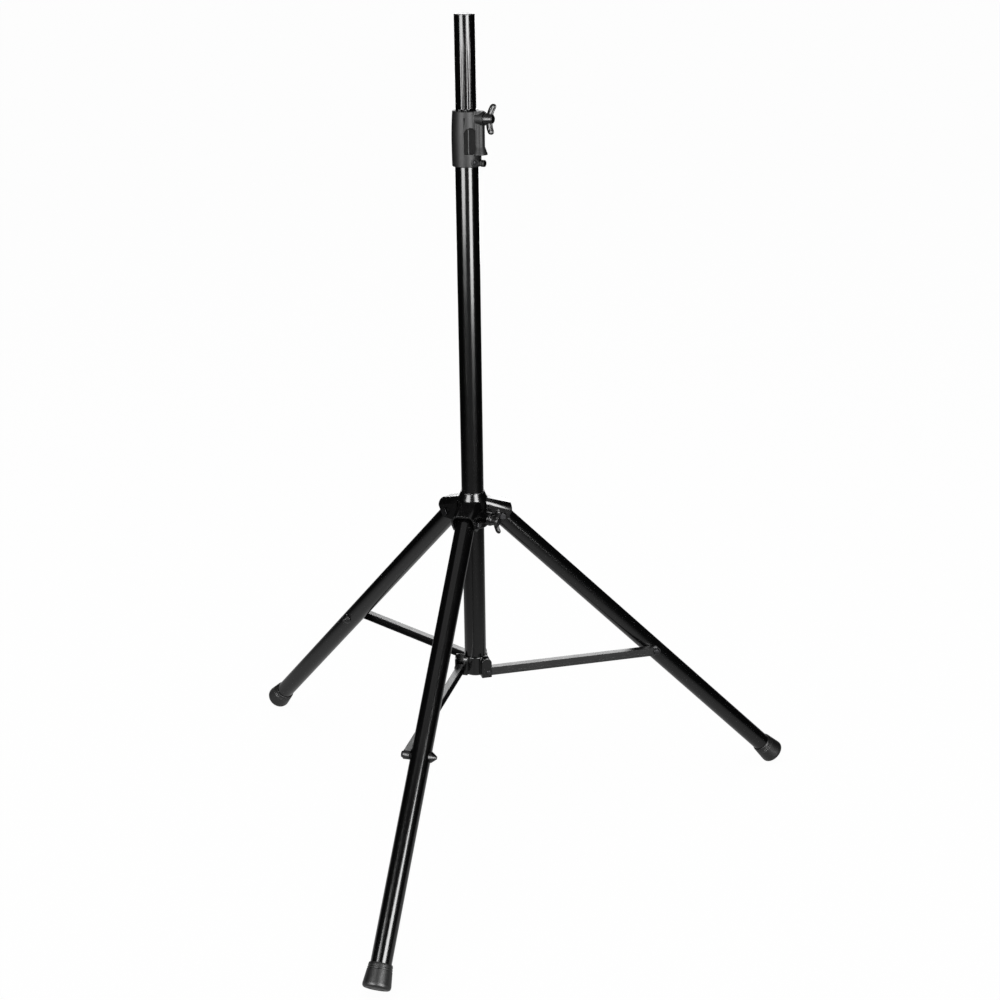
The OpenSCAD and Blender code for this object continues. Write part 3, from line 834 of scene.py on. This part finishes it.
def build_floor():
    """Plain pale floor, evenly bright to the camera. Reflections see it darker, most of all to the sides."""
    grid = bmesh.new()
    bmesh.ops.create_grid(grid, x_segments=24, y_segments=24, size=30)
    floor = new_object("studio_floor", grid)
    f = Finish("pale_floor", (0.86, 0.86, 0.86), 0.7)
    f.tint(f.ranged(f.noise(0.6, 3), 0.3, 0.7), (0.88, 0.88, 0.88))
    f.bump(f.noise(2 * MM, 2), 0.05 * MM, 0.2)
    pale = f.done()
    tree = pale.node_tree
    ray = tree.nodes.new("ShaderNodeLightPath")
    dark = tree.nodes.new("ShaderNodeEmission")
    aside = tree.nodes.new("ShaderNodeVectorMath")
    aside.operation = "DOT_PRODUCT"
    aside.inputs[1].default_value = ACROSS_VIEW
    tree.links.new(f.place, aside.inputs[0])
    far = tree.nodes.new("ShaderNodeMath")
    far.operation = "ABSOLUTE"
    tree.links.new(aside.outputs["Value"], far.inputs[0])
    away = tree.nodes.new("ShaderNodeVectorMath")
    away.operation = "LENGTH"
    tree.links.new(f.place, away.inputs[0])
    near = f.ranged(away.outputs["Value"], 0.5, 1.5, 2.2, 1)
    ahead = f.ranged(far.outputs[0], 0.6, 2.0, 0.25, 0.008)
    tree.links.new(f.times(ahead, near), dark.inputs["Strength"])
    for_glossy = tree.nodes.new("ShaderNodeMixShader")
    tree.links.new(ray.outputs["Is Glossy Ray"], for_glossy.inputs["Fac"])
    tree.links.new(f.surface.outputs["BSDF"], for_glossy.inputs[1])
    tree.links.new(dark.outputs["Emission"], for_glossy.inputs[2])
    shaded = tree.nodes.new("ShaderNodeBsdfDiffuse")
    shaded.inputs["Color"].default_value = (0.1, 0.1, 0.1, 1)
    glow = tree.nodes.new("ShaderNodeEmission")
    glow.inputs["Strength"].default_value = FLOOR_GLOW
    even = tree.nodes.new("ShaderNodeAddShader")
    tree.links.new(shaded.outputs["BSDF"], even.inputs[0])
    tree.links.new(glow.outputs["Emission"], even.inputs[1])
    for_camera = tree.nodes.new("ShaderNodeMixShader")
    tree.links.new(ray.outputs["Is Camera Ray"], for_camera.inputs["Fac"])
    tree.links.new(for_glossy.outputs["Shader"], for_camera.inputs[1])
    tree.links.new(even.outputs["Shader"], for_camera.inputs[2])
    tree.links.new(for_camera.outputs["Shader"], tree.nodes["Material Output"].inputs["Surface"])
    floor.data.materials.append(pale)


def build_world():
    """White behind the object, a dim surround for its reflections."""
    world = bpy.data.worlds.new("studio")
    bpy.context.scene.world = world
    world.use_nodes = True
    tree = world.node_tree
    soft = tree.nodes["Background"]
    soft.inputs["Color"].default_value = (1, 1, 1, 1)
    soft.inputs["Strength"].default_value = 0.12
    white = tree.nodes.new("ShaderNodeBackground")
    white.inputs["Color"].default_value = (1, 1, 1, 1)
    dim = tree.nodes.new("ShaderNodeBackground")
    dim.inputs["Color"].default_value = (0.01, 0.01, 0.01, 1)
    ray = tree.nodes.new("ShaderNodeLightPath")
    for_glossy = tree.nodes.new("ShaderNodeMixShader")
    for_camera = tree.nodes.new("ShaderNodeMixShader")
    tree.links.new(ray.outputs["Is Glossy Ray"], for_glossy.inputs["Fac"])
    tree.links.new(soft.outputs[0], for_glossy.inputs[1])
    tree.links.new(dim.outputs[0], for_glossy.inputs[2])
    tree.links.new(ray.outputs["Is Camera Ray"], for_camera.inputs["Fac"])
    tree.links.new(for_glossy.outputs[0], for_camera.inputs[1])
    tree.links.new(white.outputs[0], for_camera.inputs[2])
    tree.links.new(for_camera.outputs[0], tree.nodes["World Output"].inputs["Surface"])


def build_camera():
    """Three-quarter view from just above the pole's top, on a slightly long lens."""
    data = bpy.data.cameras.new("camera")
    data.sensor_width = 36
    data.lens = 59.08
    camera = bpy.data.objects.new("camera", data)
    bpy.context.scene.collection.objects.link(camera)
    azimuth, pitch, roll = math.radians(-14.68), math.radians(19.8), math.radians(0.66)
    ahead = Vector((
        math.sin(azimuth) * math.cos(pitch), math.cos(azimuth) * math.cos(pitch), -math.sin(pitch)
    ))
    right = Vector((math.cos(azimuth), -math.sin(azimuth), 0))
    up = right.cross(ahead)
    right_rolled = right * math.cos(roll) - up * math.sin(roll)
    up_rolled = right_rolled.cross(ahead)
    camera.location = Vector((0.7562, -2.692, 1.6298))
    camera.rotation_mode = "QUATERNION"
    camera.rotation_quaternion = Matrix((right_rolled, up_rolled, -ahead)).transposed().to_quaternion()
    bpy.context.scene.camera = camera
    bpy.context.scene.view_settings.view_transform = "Standard"


# --- The stand ---

def build_stand():
    gloss = gloss_coat()
    cast = cast_coat()
    grey = grey_moulding()
    black = black_moulding()
    steel = plated_steel()
    brass = turned_brass()
    soft = rubber()

    build_main_tube(gloss)
    build_pole(gloss)
    build_pole_cap(black)
    build_casting("brace_bracket", "column", cast, 0.6 * MM, 5)
    collar = build_casting("height_collar", "column", grey, 0.5 * MM, 3)
    clear_stem(collar)
    # painted shade on the floor of the collar's pocket
    paint_pocket_shade(collar, pocket_painted_shade())
    build_casting("hub_sleeve", "hub", cast, 0.6 * MM, 5)
    build_wing_knob("collar_wing_knob", "collar_knob", "collar_knob_turn", black, COLLAR_KNOB_TURN)
    build_wing_knob("hub_wing_knob", "hub_knob", "hub_knob_turn", black)
    build_lock_pin_head(black)
    for side in LEGS:
        direction = leg_line(side)[1]
        build_leg(side, satin_coat("satin_coat_" + side, direction), soft, black)
        build_casting("leg_joint_nut_" + side, "leg_" + side, black, 0.4 * MM, 4)
        brace = "brace_" + side
        run = mid("brace_bolt_" + side) - joint_place("brace_swing_" + side)
        paint_cad(strut_coat("strut_coat_" + side, run), brace)
        soften_cad(brace, 0.6 * MM)
        paint_cad(cast, "leg_bracket_" + side)
        soften_cad("leg_bracket_" + side, 0.8 * MM)
        soften_cad("brace_bolt_" + side, 0.5 * MM)
    for node in ("leg_pivot_bolts", "leg_pivot_nuts", "bracket_rivets", "collar_screws"):
        soften_cad(node, 0.4 * MM)
    paint_cad(steel, "leg_pivot_bolts", "leg_pivot_nuts", "bracket_rivets", "collar_screws",
              "collar_knob_stud", "hub_knob_stud", "lock_pin", *["brace_bolt_" + side for side in LEGS])
    paint_cad(black, "tube_end_plug", "hub_bushing")
    paint_cad(nylon(), "collar_bushing", "pole_guide_bush")
    paint_cad(brass, "collar_insert", "collar_pad", "hub_pad")


build_stand()
build_floor()
build_world()
build_camera()
area_light("top_softbox", (0, -0.4, 4.2), (0, 0, 0), 4.5, 4.5, 30)
softbox("left_softbox", -113, 3.0, 1.7, 0.55, 2.7, 180)
softbox("right_softbox", -43.5, 3.0, 1.5, 0.3, 2.7, 220)
softbox("back_softbox", 100, 3.2, 1.6, 0.4, 2.7, 60)
